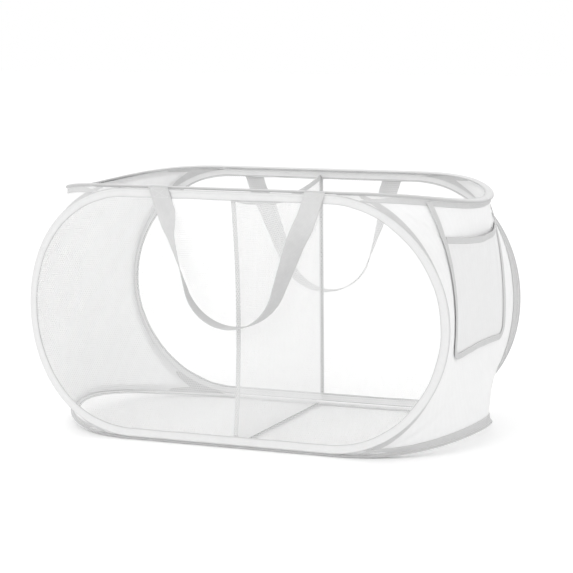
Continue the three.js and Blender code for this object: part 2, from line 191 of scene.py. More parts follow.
class Hoop:
    """A hoop of straight long sides and rounded ends. Its ends bend in towards the hamper's middle."""

    def __init__(self, half, bend, place, body, seed):
        self.half, self.bend, self.place, self.body, self.seed = half, bend, place, body, seed

    def point(self, x, across, out):
        """A point on the hoop's curved surface, or out of it along its normal."""
        share = np.maximum(0, (np.abs(x) - STRAIGHT_HALF) / END_REACH)
        slope = np.sign(x) * 3 * self.bend * share ** 2 / END_REACH
        tilt = 1 / np.sqrt(1 + slope ** 2)
        return self.place(x - slope * tilt * out, across, self.bend * share ** 3 + tilt * out)

    def stations(self, step):
        """Places round the outer edge, a step apart, each with the way in towards the middle."""
        turns = np.linspace(-math.pi / 2, math.pi / 2, 2001)
        arc = np.stack([STRAIGHT_HALF + END_REACH * np.cos(turns), self.half * np.sin(turns)], 1)
        line = np.concatenate([arc, -arc])
        run = lengths(line, True)
        line = np.concatenate([line, line[:1]])
        count = int(run[-1] / step)
        at = np.arange(count) * run[-1] / count
        flat = np.stack([np.interp(at, run, line[:, k]) for k in range(2)], 1)
        forward = unit(np.roll(flat, -1, 0) - np.roll(flat, 1, 0))
        return flat, np.stack([-forward[:, 1], forward[:, 0]], 1)

    def inside(self, x, across, inset):
        """Whether a place is inside the hoop, at least the inset from its outer edge."""
        past = np.maximum(0, np.abs(x) - STRAIGHT_HALF) / (END_REACH - inset)
        return past ** 2 + (across / (self.half - inset)) ** 2 < 1


def xyz(x, y, z):
    return np.stack(np.broadcast_arrays(x, y, z), -1).astype(float)


SIDE_OUT = (DEPTH - 2 * TAPE_HALF) / 2
HOOPS = {
    "front": Hoop(SIDE_HALF, SIDE_BEND, lambda x, s, i: xyz(x, i - SIDE_OUT, HEIGHT / 2 + s), "front_frame", 1),
    "back": Hoop(SIDE_HALF, SIDE_BEND, lambda x, s, i: xyz(x, SIDE_OUT - i, HEIGHT / 2 + s), "back_frame", 2),
    "top": Hoop(FLOOR_HALF, TOP_DROOP, lambda x, s, i: xyz(x, s, HEIGHT - TAPE_HALF - i), "top_frame", 3),
    "bottom": Hoop(FLOOR_HALF, BOTTOM_RISE, lambda x, s, i: xyz(x, s, TAPE_HALF + i), "base", 4),
}


# Materials

def linear(tone):
    """A grey, or three channels, from 0 to 255 as a display shows it, in linear light."""
    values = np.broadcast_to(np.asarray(tone, float) / 255, 3)
    return tuple(np.where(values <= 0.04045, values / 12.92, ((values + 0.055) / 1.055) ** 2.4)) + (1,)


def math_node(tree, operation, *values):
    """The output of a new maths node, from sockets and numbers."""
    node = tree.nodes.new("ShaderNodeMath")
    node.operation = operation
    for socket, value in zip(node.inputs, values):
        if isinstance(value, bpy.types.NodeSocket):
            tree.links.new(value, socket)
        else:
            socket.default_value = value
    return node.outputs[0]


class Nodes:
    """A material's node tree, with short calls to add and link nodes."""

    def __init__(self, name):
        self.material = bpy.data.materials.new(name)
        self.material.use_nodes = True
        self.tree = self.material.node_tree
        self.shader = self.tree.nodes["Principled BSDF"]

    def add(self, kind, **inputs):
        """A new node, with its settings and its inputs by name. An underscore stands for a space."""
        node = self.tree.nodes.new("ShaderNode" + kind)
        for key, value in inputs.items():
            socket = key.replace("_", " ")
            if hasattr(node, key):
                setattr(node, key, value)
            elif isinstance(value, bpy.types.NodeSocket):
                self.tree.links.new(value, node.inputs[socket])
            else:
                node.inputs[socket].default_value = value
        return node

    def math(self, operation, a, b=0.0):
        return math_node(self.tree, operation, a, b)

    def waves(self, coordinate, period):
        """A sine of the coordinate, from -1 to 1, that repeats after each period."""
        return self.math("SINE", self.math("MULTIPLY", coordinate, 2 * math.pi / period))

    def link(self, source, socket):
        self.tree.links.new(source, self.shader.inputs[socket])

    def set(self, **values):
        for key, value in values.items():
            self.shader.inputs[key.replace("_", " ")].default_value = value

    def tint(self, tone, spread, factor, bands=None):
        """The base colour, a little darker or lighter by the factor, and by the bands across a tape."""
        low, high = (np.clip(np.asarray(tone, float) + way * spread, 0, 255) for way in (-1, 1))
        ramp = self.add("ValToRGB", Fac=factor)
        ramp.color_ramp.elements[0].color = linear(low)
        ramp.color_ramp.elements[1].color = linear(high)
        colour = ramp.outputs["Color"]
        if bands:
            mix = self.add("MixRGB", blend_type="MULTIPLY", Fac=1.0, Color1=colour,
                           Color2=self.across_tape(bands))
            colour = mix.outputs["Color"]
        self.link(colour, "Base Color")

    def across_tape(self, bands):
        """A grey by the place round a tape's section, from (millimetres, tone) rows."""
        place = self.add("TexCoord")
        parts = self.add("SeparateXYZ", Vector=place.outputs["UV"])
        whole = bands[-1][0]
        ramp = self.add("ValToRGB", Fac=self.math("DIVIDE", parts.outputs["X"], whole))
        stops = ramp.color_ramp.elements
        for _ in bands[2:]:
            stops.new(0.5)
        for stop, (at, tone) in zip(stops, bands):
            stop.position = at / whole
            stop.color = linear(tone)
        return ramp.outputs["Color"]

    def relief(self, height, depth, strength):
        bump = self.add("Bump", Height=height, Distance=depth, Strength=strength)
        self.link(bump.outputs["Normal"], "Normal")


def cloth(name, tone, roughness, sheen, period, kind, uses_uv=False, spread=5, depth=0.00012, strength=0.5,
          thin=0.0, bands=None):
    """A woven material, with a twill or a plain weave that repeats after each period in millimetres.

    Its coordinates are millimetres along the cloth, or places in the frame. Thin cloth lets light through.
    """
    n = Nodes(name)
    place = n.add("TexCoord")
    if uses_uv:
        parts = n.add("SeparateXYZ", Vector=place.outputs["UV"])
        a, b = parts.outputs["X"], parts.outputs["Y"]
    else:
        parts = n.add("SeparateXYZ", Vector=place.outputs["Object"])
        a = n.math("MULTIPLY", parts.outputs["Y"], 1000.0)
        b = n.math("MULTIPLY", parts.outputs["Z"], 1000.0)
    if kind == "twill":
        weave = n.waves(n.math("ADD", a, b), period)
        fine = n.waves(b, period / 3)
    else:
        weave = n.math("MULTIPLY", n.waves(a, period), n.waves(b, period))
        fine = n.waves(n.math("ADD", a, n.math("MULTIPLY", b, 0.37)), period * 9)
    noise = n.add("TexNoise", Vector=place.outputs["Object"], Scale=70.0, Detail=6.0, Roughness=0.7)
    mixed = n.math("ADD", n.math("MULTIPLY", weave, 0.22), n.math("MULTIPLY", fine, 0.08))
    level = n.math("ADD", n.math("ADD", mixed, 0.5), n.math("SUBTRACT", noise.outputs["Fac"], 0.5))
    n.tint(tone, spread, level, bands)
    n.relief(n.math("ADD", weave, n.math("MULTIPLY", fine, 0.3)), depth, strength)
    rough = n.math("ADD", n.math("MULTIPLY", noise.outputs["Fac"], 0.16), roughness - 0.08)
    n.link(rough, "Roughness")
    n.set(Sheen_Weight=sheen, Sheen_Roughness=0.5, Specular_IOR_Level=0.3)
    if thin:
        n.set(Subsurface_Weight=thin, Subsurface_Radius=(1, 1, 1), Subsurface_Scale=0.002)
    return n.material


def yarn(name, tone, spread=5):
    """A thread's material, with its twist."""
    n = Nodes(name)
    place = n.add("TexCoord")
    noise = n.add("TexNoise", Vector=place.outputs["Object"], Scale=900.0, Detail=3.0)
    broad = n.add("TexNoise", Vector=place.outputs["Object"], Scale=35.0, Detail=4.0)
    level = n.math("ADD", n.math("MULTIPLY", noise.outputs["Fac"], 0.5),
                   n.math("MULTIPLY", broad.outputs["Fac"], 0.5))
    n.tint(tone, spread, level)
    n.relief(noise.outputs["Fac"], 0.0002, 0.4)
    n.link(n.math("ADD", n.math("MULTIPLY", noise.outputs["Fac"], 0.2), 0.5), "Roughness")
    n.set(Sheen_Weight=0.15, Specular_IOR_Level=0.35)
    return n.material


def steel(name):
    """The wire's drawn steel, which the tape hides."""
    n = Nodes(name)
    place = n.add("TexCoord")
    noise = n.add("TexNoise", Vector=place.outputs["Object"], Scale=400.0, Detail=5.0)
    n.tint((158, 160, 163), 10, noise.outputs["Fac"])
    n.relief(noise.outputs["Fac"], 0.0001, 0.3)
    n.link(n.math("ADD", n.math("MULTIPLY", noise.outputs["Fac"], 0.2), 0.25), "Roughness")
    n.set(Metallic=1.0)
    return n.material


# Tones round the section of a hoop's tape, which darken the colour. The dark lines at the outer fold and at the
# inner edge are painted shade where the tape turns away. They run from the outer fold over one face to the
# inner edge, near 15 mm, and back over the other face.
HOOP_EDGE_SHADE_BANDS = [(0, 205), (1.4, 218), (2.4, 250), (4.5, 255), (13.4, 255), (14.2, 222), (16.0, 215), (16.9, 240),
              (19.5, 246), (26.5, 244), (28.6, 226), (30.6, 205)]
HOOP_TAPE = cloth("hoop tape weave", 238, 0.82, 0.2, 1.6, "twill", uses_uv=True, bands=HOOP_EDGE_SHADE_BANDS)
# The binding tape and the pocket binding are the hoop tape's cloth in darker tones: painted shade, like tape
# facing away from the light on the right end.
SHADED_TAPE = cloth("binding tape weave", 216, 0.82, 0.25, 1.6, "twill", uses_uv=True, spread=8)
SHADED_POCKET_BIND = cloth("pocket binding weave", 208, 0.82, 0.25, 1.6, "twill", uses_uv=True, spread=8)
STRAP = cloth("webbing weave", 217, 0.74, 0.3, 2.6, "twill", uses_uv=True, spread=9, depth=0.0003, strength=0.7)
END_CLOTH = cloth("end cloth weave", 246, 0.8, 0.1, 1.1, "plain", spread=4, thin=0.45)
# The pocket cloth is the end cloth in a darker tone: painted shade, as on the right end where the pocket sits.
SHADED_POCKET_CLOTH = cloth("pocket cloth weave", 241, 0.8, 0.1, 1.1, "plain", spread=4, thin=0.2)
NET = yarn("net yarn", 253, spread=2)
THREAD = yarn("stitching thread", 230)
DARK_THREAD = yarn("overlock thread", 160)
STEEL = steel("drawn steel")


def coat(piece, material):
    piece.data.materials.clear()
    piece.data.materials.append(material)


def finish_piece(piece, material, body, stands_for=()):
    """Gives a piece its material, its body and the nodes that it stands for."""
    coat(piece, material)
    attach(piece, body)
    if stands_for:
        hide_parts(*stands_for)
    return piece


# Stitches. Rows along a seam are given by their pitch, and the length and radius of a stitch.

TAPE_STITCH = (3.0, 2.3, 0.24)
END_SEAM_STITCH = (3.2, 2.4, 0.24)
POCKET_MOUTH_STITCH = (3.0, 2.2, 0.2)


def stitches(name, places, runs, outs, length, radius, material, body):
    """A row of short round stitches, one at each place."""
    ring = np.linspace(0, 2 * math.pi, 7)[:-1]
    profile = [(-0.5, 0.25), (-0.36, 0.9), (0.0, 1.0), (0.36, 0.9), (0.5, 0.25)]
    template = np.array([[along * length, radius * size * math.cos(t), radius * size * math.sin(t)]
                         for along, size in profile for t in ring])
    _, quads, tris, _ = skin(template.reshape(len(profile), 6, 3), False)
    tris = np.array(tris)
    runs, outs = unit(runs), unit(outs)
    sides = unit(np.cross(outs, runs))
    axes = np.stack([runs, sides, outs], 1)
    points = places[:, None] + np.einsum("pk,nkc->npc", template, axes)
    shift = (np.arange(len(places)) * len(template))[:, None, None]
    piece = mesh_object(name, points.reshape(-1, 3), (quads[None] + shift).reshape(-1, 4),
                        (tris[None] + shift).reshape(-1, 3))
    outward(piece)
    return finish_piece(piece, material, body)


def every(pitch, line, *others):
    """The points of a line, and of the rows that go with it, at places a pitch apart along it."""
    run = lengths(line)
    at = np.linspace(0, run[-1], max(2, int(run[-1] / pitch)))
    return [np.stack([np.interp(at, run, rows[:, k]) for k in range(3)], 1) for rows in (line, *others)]


def zigzag(name, line, across, out, pitch, radius, material, body):
    """Slanted stitches along a line, which turn back at each side. Across carries half their width."""
    middle, sides, outs = every(pitch, line, across, out)
    corners = middle + sides * np.where(np.arange(len(middle)) % 2, 1.0, -1.0)[:, None]
    steps = np.diff(corners, axis=0)
    size = np.linalg.norm(steps, axis=1).mean()
    return stitches(name, (corners[1:] + corners[:-1]) / 2, steps, outs[1:], size, radius, material, body)


def stitch_row(name, line, out, pitch, length, radius, material, body, slot="binding_tape"):
    """A row of stitches along a line of points, a pitch apart."""
    places, outs = every(pitch, line, out)
    return stitches(name, places, np.gradient(places, axis=0), outs, length, radius, material, body)


# Ribbons

def bare_ribbon(name, line, across, out):
    """A flat tape with rounded edges. Across and out carry half its width and half its thickness."""
    turn = np.linspace(0, 2 * math.pi, 23)[:-1]
    power = lambda v, p: np.sign(v) * np.abs(v) ** p
    section = np.stack([power(np.cos(turn), 0.45), power(np.sin(turn), 0.6)], 1)
    rings = (line[:, None] + across[:, None] * section[None, :, 0, None]
             + out[:, None] * section[None, :, 1, None])
    return skin_object(name, rings)


def ribbon(name, line, across, out, material, body, stands_for=()):
    """A ribbon of binding tape on one body."""
    return finish_piece(bare_ribbon(name, line, across, out), material, body, stands_for)


# Bindings. The tape is folded round the wire as a bead, and its two plies lie on the net inside that.

PLIES_HALF = 0.95
STITCH_INSET = 10.8
BINDING_RING_STEP = 4.0
BINDING_STITCH_PITCH = 3.2
BINDING_STITCH_LENGTH = 2.5
BINDING_STITCH_OFF = 0.86
EDGE_DRIFT = 0.35
EDGE_LIFT = 0.16


def binding_section():
    """The tape's section, as how far in from the outer edge and how far out of the hoop's surface."""
    turn = np.radians([180, 155, 130, 105, 80, 58, 40])
    bead = [(TAPE_HALF + TAPE_HALF * math.cos(t), TAPE_HALF * math.sin(t)) for t in turn]
    plies = [(5.6, 1), (8.0, 0.92), (10.1, 0.95), (STITCH_INSET, 0.72), (11.5, 0.95), (12.4, 0.85), (12.9, 0.5)]
    upper = bead + [(4.6, 1.12)] + [(inset, PLIES_HALF * share) for inset, share in plies]
    lower = [(inset, -out) for inset, out in upper[1:]][::-1]
    return np.array(upper + lower)


def binding(name, hoop):
    """The tape round a hoop, its stitches on both faces, and the steel of the wire that it hides."""
    flat, inward = hoop.stations(BINDING_RING_STEP)
    section = binding_section()
    turns = np.arange(len(flat)) / len(flat)
    drift = EDGE_DRIFT * ripple(turns * 2, seed=10 + hoop.seed, waves=8, low=8, high=40)
    lift = EDGE_LIFT * ripple(turns * 2, seed=20 + hoop.seed, waves=8, low=8, high=60)
    inset = section[:, 0][None] * (1 + drift[:, None] / TAPE_WIDTH)
    share = np.clip((section[:, 0] - 4) / 8, 0, 1)[None]
    out = section[:, 1][None] + lift[:, None] * share
    rings = hoop.point(flat[:, 0, None] + inset * inward[:, 0, None],
                       flat[:, 1, None] + inset * inward[:, 1, None], out)
    piece = skin_object(f"{name}_binding", rings, True)
    finish_piece(piece, HOOP_TAPE, hoop.body, [f"{name}_hoop_binding"])
    flat, inward = hoop.stations(BINDING_STITCH_PITCH)
    x, across = (flat + STITCH_INSET * inward).T
    for label, side, thread, radius in (("inner", 1, DARK_THREAD, 0.42), ("outer", -1, THREAD, 0.26)):
        places = hoop.point(x, across, side * BINDING_STITCH_OFF)
        outs = side * (hoop.point(x, across, 1.0) - hoop.point(x, across, 0.0))
        runs = np.roll(places, -1, 0) - np.roll(places, 1, 0)
        stitches(f"{name}_binding_{label}_stitches", places, runs, outs, BINDING_STITCH_LENGTH, radius, thread,
                 hoop.body)
    for part in ("wire", "ferrule"):
        coat(frame["nodes"][f"{name}_hoop_{part}"], STEEL)


for name, hoop in HOOPS.items():
    binding(name, hoop)


# Nets. Each is a knitted lattice of six-sided holes, made of flat struts that meet three at a node.

NET_PITCH = 3.6
NET_WANDER = 0.18


def net(box, place, keep, owner, width=0.42, thick=0.22):
    """The pieces of a net as {piece number: (points, quads, tris)}.

    Place puts net coordinates in the frame, keep says where there is net, and owner gives the piece number.
    """
    pitch = NET_PITCH
    (low_u, high_u), (low_v, high_v) = box
    edge = pitch / math.sqrt(3)
    row = pitch * math.sqrt(3) / 2
    j = np.arange(int((high_v - low_v) / row) + 3)
    i = np.arange(-len(j) // 2 - 2, int((high_u - low_u) / pitch) + 3)
    ii, jj = np.meshgrid(i, j, indexing="ij")
    first = np.stack([low_u + ii * pitch + jj * pitch / 2, low_v - edge + jj * row], -1)
    second = first + [0, edge]
    centres = np.stack([first, second])
    u, v = centres[..., 0], centres[..., 1]
    centres = centres + NET_WANDER * np.stack([np.sin(v / 9 + 0.7 * np.sin(u / 31)),
                                               np.sin(u / 11 + 0.9 * np.sin(v / 27))], -1)
    alive = keep(centres[..., 0], centres[..., 1])
    shape = centres.shape[:3]
    index = np.arange(2 * shape[1] * shape[2]).reshape(shape)
    # The three struts of each second node, each with the shift to its first node and the corners
    # that it joins, on its clockwise side and on the other.
    struts = [((0, 0), (1, 1), (2, 0)), ((0, 1), (2, 2), (0, 1)), ((-1, 1), (0, 0), (1, 2))]
    joined = []
    for (di, dj), _, _ in struts:
        other = np.zeros(shape[1:], bool)
        a0, a1 = max(0, -di), shape[1] - max(0, di)
        other[a0:a1, :shape[2] - dj] = alive[0][a0 + di:a1 + di, dj:]
        joined.append(other & alive[1])
    reach = (width / 2) / math.sin(math.pi / 3)
    turn = np.radians([[30, 150, 270], [90, 210, 330]])
    corner = centres[..., None, :] + reach * np.stack([np.cos(turn), np.sin(turn)], -1)[:, None, None]
    upper = place(corner[..., 0], corner[..., 1], thick / 2)
    lower = place(corner[..., 0], corner[..., 1], -thick / 2)
    points = np.concatenate([upper, lower], -2).reshape(-1, 3)
    top = lambda node, c: node * 6 + c
    under = lambda node, c: node * 6 + 3 + c
    owned = owner(centres[..., 0], centres[..., 1])
    quads, quad_owner, tris, tri_owner = [], [], [], []
    for which in range(2):
        node = index[which][alive[which]]
        tris += [np.stack([top(node, c) for c in (0, 1, 2)], -1),
                 np.stack([under(node, c) for c in (2, 1, 0)], -1)]
        tri_owner += [owned[which][alive[which]]] * 2
    for ((di, dj), cw, ccw), there in zip(struts, joined):
        a, b = np.nonzero(there)
        near, far = index[1][a, b], index[0][a + di, b + dj]
        cn, cf = cw
        an, af = ccw
        quads += [
            np.stack([top(near, cn), top(far, cf), top(far, af), top(near, an)], -1),
            np.stack([under(near, an), under(far, af), under(far, cf), under(near, cn)], -1),
            np.stack([under(near, cn), under(far, cf), top(far, cf), top(near, cn)], -1),
            np.stack([under(far, af), under(near, an), top(near, an), top(far, af)], -1),
        ]
        quad_owner += [owned[1][a, b]] * 4
        crosses = owned[1][a, b] != owned[0][a + di, b + dj]
        far, near_owner, far_owner = far[crosses], owned[1][a, b][crosses], owned[0][a + di, b + dj][crosses]
        cap = np.stack([under(far, cf), under(far, af), top(far, af), top(far, cf)], -1)
        quads += [cap, cap[:, ::-1]]
        quad_owner += [near_owner, far_owner]
        a, b = np.nonzero(alive[1] & ~there)
        near = index[1][a, b]
        quads.append(np.stack([under(near, cn), under(near, an), top(near, an), top(near, cn)], -1))
        quad_owner.append(owned[1][a, b])
        held = np.zeros(shape[1:], bool)
        a, b = np.nonzero(there)
        held[a + di, b + dj] = True
        a, b = np.nonzero(alive[0] & ~held)
        far = index[0][a, b]
        quads.append(np.stack([under(far, af), under(far, cf), top(far, cf), top(far, af)], -1))
        quad_owner.append(owned[0][a, b])
    quads, quad_owner = np.concatenate(quads), np.concatenate(quad_owner)
    tris, tri_owner = np.concatenate(tris), np.concatenate(tri_owner)
    pieces = {}
    for number in np.unique(tri_owner):
        q, t = quads[quad_owner == number], tris[tri_owner == number]
        used, back = np.unique(np.concatenate([q.ravel(), t.ravel()]), return_inverse=True)
        pieces[int(number)] = (points[used], back[:q.size].reshape(-1, 4), back[q.size:].reshape(-1, 3))
    return pieces


NET_INSET = 8.5
NET_CUT = 95
NET_SWAY = 0.5
# The flat width in metres of each third of a panel, and how much of its flat rectangle it fills
NET_FLATS = {"left": (0.233, 0.87), "middle": (0.19, 1), "right": (0.233, 0.87)}


def panel_nets(name):
    """A hoop's net in three pieces, stretched in it with a slight sway."""
    hoop = HOOPS[name]

    def place(x, across, out):
        sway = NET_SWAY * ripple(x / 330, across / 180, seed=30 + hoop.seed, waves=6, low=0.6, high=2.5)
        edge = np.clip((hoop.half - NET_INSET - np.abs(across)) / 40, 0, 1)
        return hoop.point(x, across, out + sway * edge)

    reach = STRAIGHT_HALF + END_REACH
    pieces = net(
        ((-reach, reach), (-hoop.half, hoop.half)), place,
        lambda x, across: hoop.inside(x, across, NET_INSET),
        lambda x, across: np.digitize(x, [-NET_CUT, NET_CUT]),
    )
    for number, (points, quads, tris) in pieces.items():
        label = list(NET_FLATS)[number]
        piece = mesh_object(f"{name}_net_{label}", points, quads, tris)
        finish_piece(piece, NET, hoop.body, [f"{name}_mesh_panel"])


for name in ("front", "back", "bottom"):
    panel_nets(name)


# End panels. Each is one sheet, cut along its diagonals into four flaps, so that each flap can fold
# with the hoop that it is sewn to.

END_PANEL_REACH = END_REACH - TAPE_WIDTH / 2
END_DISH = 8
END_WRINKLE = 0.9
END_PLY = 0.5
FABRIC = 0.8


def drawn_in(share, bend):
    """How far the hoop's bend draws the panel's edge in, at a share of the way along it."""
    return bend * ((END_PANEL_REACH / END_REACH) * np.sqrt(np.clip(1 - share ** 2, 0, 1))) ** 3


def end_smooth(side, a, b):
    """A point of the panel without wrinkles, where a and b run from -1 to 1 in depth and in height."""
    dish = END_DISH * (1 - a ** 2) * (1 - b ** 2)
    x = STRAIGHT_HALF + END_PANEL_REACH * np.sqrt(np.clip(1 - (a * b) ** 2, 0, 1)) - dish
    half_depth = FOLD_Y - FABRIC / 2 - drawn_in(b, SIDE_BEND)
    bend = np.where(b > 0, TOP_DROOP, BOTTOM_RISE)
    half_height = FOLD_HALF_HEIGHT - FABRIC / 2 - drawn_in(a, bend)
    return xyz(side * x, a * half_depth, HEIGHT / 2 + b * half_height)


def end_wrinkle(side, a, b):
    """How far the cloth stands off its smooth form, in soft folds that run up it and out to its corners."""
    free = np.clip((1 - a ** 2) * (1 - b ** 2) * 3, 0, 1)
    upright = ripple(a * 2.2, b * 0.35, seed=41 + side, waves=7, low=1.0, high=3.2)
    corner = np.exp(-((np.abs(a) - np.abs(b)) ** 2) / 0.02) * np.clip(np.abs(a * b) * 1.6 - 0.25, 0, 1)
    pull = ripple((np.abs(a) - np.abs(b)) * 5, a * 0.6, seed=51 + side, waves=4, low=1.0, high=2.0)
    at_corner = END_WRINKLE * corner * pull * np.clip((1 - a ** 2) * (1 - b ** 2) * 12, 0, 1)
    return free * (END_WRINKLE * upright) + at_corner


def end_point(side, a, b, off=0.0):
    """A point of the end panel, with its wrinkles, and off it along its outward normal."""
    base = end_smooth(side, a, b)
    d = 1e-4
    normal = unit(np.cross(end_smooth(side, a + d, b) - end_smooth(side, a - d, b),
                           end_smooth(side, a, b + d) - end_smooth(side, a, b - d))) * side
    return base + normal * (end_wrinkle(side, a, b) + off)[..., None], normal


GRID = 64
FLAP_ANCHOR = 5
# Each flap's body, its part of the panel, and an axis and anchor in millimetres for a squash, which nothing
# reads
FLAPS = {
    "front": ("front_frame", lambda a, b: a < -np.abs(b), (0, 1, 0), (0, -FOLD_Y, 0)),
    "back": ("back_frame", lambda a, b: a > np.abs(b), (0, 1, 0), (0, FOLD_Y, 0)),
    "bottom": ("base", lambda a, b: b < -np.abs(a), (0, 0, 1), (0, 0, FLAP_ANCHOR)),
    "top": ("top_frame", lambda a, b: b > np.abs(a), (0, 0, 1), (0, 0, HEIGHT - FLAP_ANCHOR)),
}


def flap_faces(is_in):
    """The grid's faces in one flap, with the squares on a diagonal cut along it."""
    i, j = np.meshgrid(np.arange(2 * GRID), np.arange(2 * GRID), indexing="ij")
    at = lambda i, j: i * (2 * GRID + 1) + j
    middle = lambda k: (k + 0.5) / GRID - 1
    a, b = middle(i), middle(j)
    square = np.stack([at(i, j), at(i + 1, j), at(i + 1, j + 1), at(i, j + 1)], -1)
    rising = i == j
    falling = i == 2 * GRID - 1 - j
    quads = square[~rising & ~falling & is_in(a, b)]
    tris = []
    third = 1 / (3 * GRID)
    for diagonal, corners, way in ((rising, (0, 1, 2), (1, -1)), (rising, (0, 2, 3), (-1, 1)),
                                   (falling, (0, 1, 3), (-1, -1)), (falling, (1, 2, 3), (1, 1))):
        here = diagonal & is_in(a + way[0] * third / 2, b + way[1] * third / 2)
        tris.append(square[here][:, corners])
    return quads, np.concatenate(tris)


def two_ply(points, normals, quads, tris, thickness):
    """A closed sheet round one layer of faces, with the layer's used points only, and its normals."""
    used, back = np.unique(np.concatenate([quads.ravel(), tris.ravel()]), return_inverse=True)
    q, t = back[:quads.size].reshape(-1, 4), back[quads.size:].reshape(-1, 3)
    count = len(used)
    p, n = points.reshape(-1, 3)[used], normals.reshape(-1, 3)[used]
    both = np.concatenate([p + n * thickness / 2, p - n * thickness / 2])
    edges = np.concatenate([np.stack([f[:, k], f[:, (k + 1) % f.shape[1]]], -1) for f in (q, t)
                            for k in range(f.shape[1])])
    key = lambda e: e[:, 0] * count + e[:, 1]
    alone = ~np.isin(key(edges), key(edges[:, ::-1]))
    rim = edges[alone]
    sides = np.stack([rim[:, 1], rim[:, 0], rim[:, 0] + count, rim[:, 1] + count], -1)
    return (both, np.concatenate([q, q[:, ::-1] + count, sides]), np.concatenate([t, t[:, ::-1] + count]),
            np.concatenate([n, -n]))


def surface_normals(points):
    """The normals of a grid of points."""
    along = np.gradient(points, axis=0)
    across = np.gradient(points, axis=1)
    return unit(np.cross(along, across))


def sheet_object(name, points, quads, tris, thickness):
    """A closed sheet of cloth round a grid of points, shaded as if it were one surface."""
    both, quads, tris, normals = two_ply(points, surface_normals(points), quads, tris, thickness)
    piece = mesh_object(name, both, quads, tris)
    piece.data.normals_split_custom_set_from_vertices([tuple(v) for v in normals])
    return piece


def squash_flap(piece):
    """Gives a piece its own copy of its mesh."""
    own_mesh(piece)


def end_panel(label, side):
    """The four flaps of one end, each on its hoop's body."""
    shares = np.linspace(-1, 1, 2 * GRID + 1)
    points, _ = end_point(side, *np.meshgrid(shares, shares, indexing="ij"))
    for flap, (body, is_in, _, _) in FLAPS.items():
        piece = sheet_object(f"{label}_end_{flap}_flap", points, *flap_faces(is_in), END_PLY)
        finish_piece(piece, END_CLOTH, body, [f"{label}_end_panel"])
        squash_flap(piece)


end_panel("left", -1)
end_panel("right", 1)


# Seams of the end panels. Each hoop's tape goes on over the cloth of the end, outside it.

END_SEAM_WIDTH = {"front": 6, "back": 11, "bottom": 8, "top": 7}
END_SEAM_INSET = 2.6
END_SEAM_RISE = 1.9
END_SEAM_OFF = 0.9
END_SEAM_HALF = 0.45
END_STITCH_OFF = 0.5


def end_seam(label, side, flap):
    """The tape that joins one flap to its hoop, with two rows of stitches."""
    body, hoop = FLAPS[flap][0], HOOPS[flap]
    turn = np.radians(np.linspace(-87, 87, 121))
    upper = hoop.point(side * (STRAIGHT_HALF + (END_REACH - END_SEAM_INSET) * np.cos(turn)),
                       (hoop.half - END_SEAM_INSET) * np.sin(turn), END_SEAM_RISE)
    edge = (-1 if flap in ("front", "bottom") else 1) * (1 - (END_SEAM_WIDTH[flap] + 2) / FOLD_Y)
    a, b = (edge, np.sin(turn)) if flap in ("front", "back") else (np.sin(turn), edge)
    lower, normal = end_point(side, a + 0 * turn, b + 0 * turn, END_SEAM_OFF)
    piece = ribbon(f"{label}_{flap}_end_seam", (upper + lower) / 2, (upper - lower) / 2, normal * END_SEAM_HALF,
                   SHADED_TAPE, body)
    squash_flap(piece)
    for row, share in (("outer", 0.12), ("inner", 0.8)):
        line = lower + (upper - lower) * share + normal * END_STITCH_OFF
        piece = stitch_row(f"{label}_{flap}_end_{row}_stitches", line, normal, *END_SEAM_STITCH, THREAD, body)
        squash_flap(piece)


for label, side in (("left", -1), ("right", 1)):
    for flap in FLAPS:
        end_seam(label, side, flap)


# Pocket, on the outside of the right end. It rides with the top hoop.

POCKET_HALF_WIDTH = 119
POCKET_TOP = HEIGHT - 60
POCKET_BOTTOM = POCKET_TOP - 181
POCKET_PUFF = 5
POCKET_FOLD = 0.7
POCKET_CORNER_RADIUS = 22
POCKET_PLY = 0.6
POCKET_OFF = 1.3
POCKET_COLUMNS, POCKET_ROWS = 120, 90
POCKET_TAPE_WIDTH = 9
POCKET_TAPE_HALF = 0.6
POCKET_TAPE_OFF = 2.7
POCKET_TAPE_TOP = HEIGHT - 2 * TAPE_HALF - 4
HEM_HALF_WIDTH = 4.5
HEM_HALF = 1.2
HEM_OFF = 1.75
HEM_STITCH_DROP = 3.4
MOUTH_STITCH_DROP = 16


def on_right_end(y, z, off):
    """A point off the right end's cloth, and the normal there."""
    return end_point(1, y / FOLD_Y, (z - HEIGHT / 2) / FOLD_HALF_HEIGHT, off)


def pocket_puff(y, z):
    """How far the pocket stands off its seams: out towards its mouth, with soft folds from its hem."""
    low, half = POCKET_BOTTOM + POCKET_TAPE_WIDTH, POCKET_HALF_WIDTH - POCKET_TAPE_WIDTH
    rise = np.clip((z - low) / (POCKET_TOP - low), 0, 1)
    free = np.clip(1 - (y / half) ** 2, 0, 1)
    folds = POCKET_FOLD * ripple(y / 40, rise * 0.3, seed=61, waves=6, low=0.6, high=1.6)
    return free * (POCKET_PUFF * np.sin(math.pi / 2 * rise) + folds * rise * np.clip(free * 4, 0, 1))


def pocket_panel():
    """The pocket's cloth, which stands a little off the end panel."""
    y, z = np.meshgrid(np.linspace(-POCKET_HALF_WIDTH + 2, POCKET_HALF_WIDTH - 2, POCKET_COLUMNS + 1),
                       np.linspace(POCKET_BOTTOM + 2, POCKET_TOP - 1, POCKET_ROWS + 1), indexing="ij")
    points, _ = on_right_end(y, z, POCKET_OFF + pocket_puff(y, z))
    i, j = np.meshgrid(np.arange(POCKET_COLUMNS), np.arange(POCKET_ROWS), indexing="ij")
    at = lambda i, j: i * (POCKET_ROWS + 1) + j
    quads = np.stack([at(i, j), at(i + 1, j), at(i + 1, j + 1), at(i, j + 1)], -1).reshape(-1, 4)
    piece = sheet_object("pocket_panel", points, quads, np.zeros((0, 3), int), POCKET_PLY)
    finish_piece(piece, SHADED_POCKET_CLOTH, "top_frame", ["side_pocket_panel"])
    squash_flap(piece)


